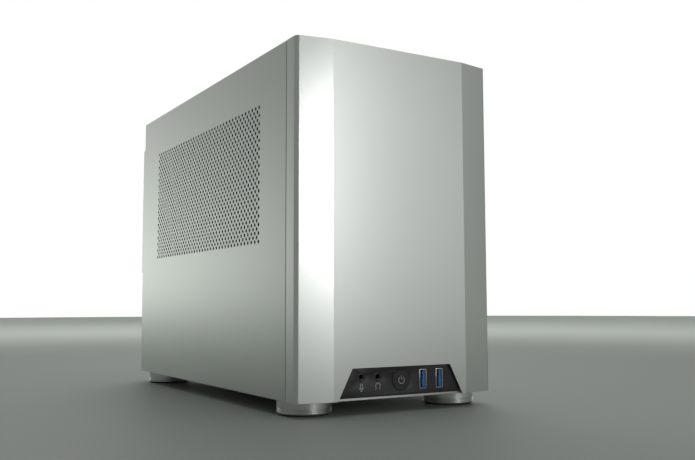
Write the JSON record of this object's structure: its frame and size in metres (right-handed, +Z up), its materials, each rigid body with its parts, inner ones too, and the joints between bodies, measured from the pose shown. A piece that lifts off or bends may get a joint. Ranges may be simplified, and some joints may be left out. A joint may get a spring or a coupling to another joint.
{
  "type": "desktop computer tower",
  "caption": "Compact upright computer case in satin aluminium with a bevelled front, a corner port window, a perforated side and round feet, holding a small computer.",
  "frame": {"origin": "on the floor under the middle of the whole case, grip tabs included", "axes": "+Z up, +Y from the front panel to the rear plate, +X to the right as seen from the front"},
  "size_m": [0.16, 0.332, 0.25],
  "materials": {
    "anodised_aluminium": "satin bead-blasted anodised",
    "foot_aluminium": "satin turned with fine grooves",
    "chassis_aluminium": "matte rolled sheet",
    "turned_studs": "polished turned",
    "socket_nylon": "moulded nylon",
    "foot_rubber": "matte",
    "screw_steel": "zinc plated",
    "bezel_black": "satin black moulding",
    "black_moulding": "moulded",
    "circuit_board": "solder mask over glass fibre",
    "component_black": "moulded and plated components",
    "plated_steel": "nickel plated sheet",
    "usb_blue": "moulded",
    "drive_grey": "fine textured paint",
    "supply_grey": "textured black paint",
    "switch_red": "moulded",
    "lead_black": "smooth jacket",
    "fan_black": "moulded",
    "rotor_grey": "moulded",
    "heatsink_aluminium": "pressed fins",
    "copper_plated": "nickel-plated copper",
    "memory_grey": "anodised spreader over a board",
    "latch_white": "moulded",
    "shroud_black": "moulded"
  },
  "bodies": {
    "case": {"bottom_plate": "chassis_aluminium", "front_wall": "chassis_aluminium", "rear_plate": "chassis_aluminium", "frame_rails": "chassis_aluminium", "snap_sockets": "socket_nylon", "mainboard_tray": "chassis_aluminium", "fan_rails": "chassis_aluminium", "feet": "foot_aluminium", "foot_pads": "foot_rubber", "fixings": "screw_steel", "port_bezel": "bezel_black", "port_board": "circuit_board", "front_usb_shells": "plated_steel", "front_usb_tongues": "usb_blue", "front_audio_jacks": "black_moulding", "solid_state_drive": "drive_grey", "psu_case": "supply_grey", "psu_grille": "supply_grey", "psu_fan_frame": "fan_black", "psu_electronics": "black_moulding", "mains_plug": "black_moulding", "mains_lead": "lead_black", "mains_inlet": "black_moulding", "mainboard": "circuit_board", "board_components": "component_black", "board_heatsinks": "heatsink_aluminium", "board_slots": "black_moulding", "memory_sticks": "memory_grey", "rear_ports": "plated_steel", "io_shield": "plated_steel", "cooler_base": "copper_plated", "cooler_fins": "heatsink_aluminium", "cooler_fan_frame": "fan_black", "side_fan_frames": "fan_black", "rear_fan_frame": "fan_black", "graphics_board": "circuit_board", "graphics_bracket": "plated_steel", "graphics_heatsink": "heatsink_aluminium", "graphics_shroud": "shroud_black", "slot_cover": "plated_steel", "power_cables": "lead_black"},
    "front_cover": {"front_panel": "anodised_aluminium", "front_panel_studs": "turned_studs"},
    "left_cover": {"left_panel": "anodised_aluminium", "left_panel_studs": "turned_studs"},
    "right_cover": {"right_panel": "anodised_aluminium", "right_panel_studs": "turned_studs"},
    "top_cover": {"top_panel": "anodised_aluminium", "top_panel_studs": "turned_studs"},
    "power_button_cap": {"power_button": "bezel_black"},
    "supply_rocker": {"psu_switch": "switch_red"},
    "side_fan_front_wheel": {"side_fan_front_rotor": "rotor_grey"},
    "side_fan_rear_wheel": {"side_fan_rear_rotor": "rotor_grey"},
    "rear_fan_wheel": {"rear_fan_rotor": "rotor_grey"},
    "cooler_fan_wheel": {"cooler_fan_rotor": "rotor_grey"},
    "supply_fan_wheel": {"psu_fan_rotor": "rotor_grey"},
    "card_fan_front_wheel": {"graphics_front_rotor": "rotor_grey"},
    "card_fan_rear_wheel": {"graphics_rear_rotor": "rotor_grey"},
    "latch_front": {"memory_latch_front": "latch_white"},
    "latch_rear": {"memory_latch_rear": "latch_white"}
  },
  "joints": [
    {"name": "left_panel_pull", "type": "slide", "parent": "case", "child": "left_cover", "axis": [-1, 0, 0], "range_m": [0, 0.12]},
    {"name": "right_panel_pull", "type": "slide", "parent": "case", "child": "right_cover", "axis": [1, 0, 0], "range_m": [0, 0.12]},
    {"name": "front_panel_pull", "type": "slide", "parent": "case", "child": "front_cover", "axis": [0, -1, 0], "range_m": [0, 0.12]},
    {"name": "top_panel_lift", "type": "slide", "parent": "case", "child": "top_cover", "axis": [0, 0, 1], "range_m": [0, 0.1]},
    {"name": "power_button_press", "type": "slide", "parent": "case", "child": "power_button_cap", "axis": [0, 1, 0], "range_m": [0, 0.0008], "stiffness_N_per_m": 800, "springref_m": -0.001},
    {"name": "supply_switch_rock", "type": "hinge", "parent": "case", "child": "supply_rocker", "pos_m": [0.037, -0.144, 0.173], "axis": [0, 0, -1], "range_deg": [0, 16]},
    {"name": "side_fan_front_spin", "type": "hinge", "parent": "case", "child": "side_fan_front_wheel", "pos_m": [-0.0625, -0.0536, 0.165], "axis": [1, 0, 0], "continuous": true},
    {"name": "side_fan_rear_spin", "type": "hinge", "parent": "case", "child": "side_fan_rear_wheel", "pos_m": [-0.0625, 0.0668, 0.165], "axis": [1, 0, 0], "continuous": true},
    {"name": "rear_fan_spin", "type": "hinge", "parent": "case", "child": "rear_fan_wheel", "pos_m": [-0.0305, 0.146, 0.165], "axis": [0, 1, 0], "continuous": true},
    {"name": "cooler_fan_spin", "type": "hinge", "parent": "case", "child": "cooler_fan_wheel", "pos_m": [-0.002, 0.079, 0.165], "axis": [1, 0, 0], "continuous": true},
    {"name": "supply_fan_spin", "type": "hinge", "parent": "case", "child": "supply_fan_wheel", "pos_m": [0.062, -0.0955, 0.1695], "axis": [1, 0, 0], "continuous": true},
    {"name": "card_fan_front_spin", "type": "hinge", "parent": "case", "child": "card_fan_front_wheel", "pos_m": [-0.0002, -0.0185, 0.0446], "axis": [0, 0, 1], "continuous": true},
    {"name": "card_fan_rear_spin", "type": "hinge", "parent": "case", "child": "card_fan_rear_wheel", "pos_m": [-0.0002, 0.08422, 0.0446], "axis": [0, 0, 1], "continuous": true},
    {"name": "memory_latch_front_turn", "type": "hinge", "parent": "case", "child": "latch_front", "pos_m": [0.0559, 0.007, 0.228], "axis": [0, 1, 0], "range_deg": [0, 30]},
    {"name": "memory_latch_rear_turn", "type": "hinge", "parent": "case", "child": "latch_rear", "pos_m": [0.0559, 0.017, 0.228], "axis": [0, 1, 0], "range_deg": [0, 30]}
  ]
}
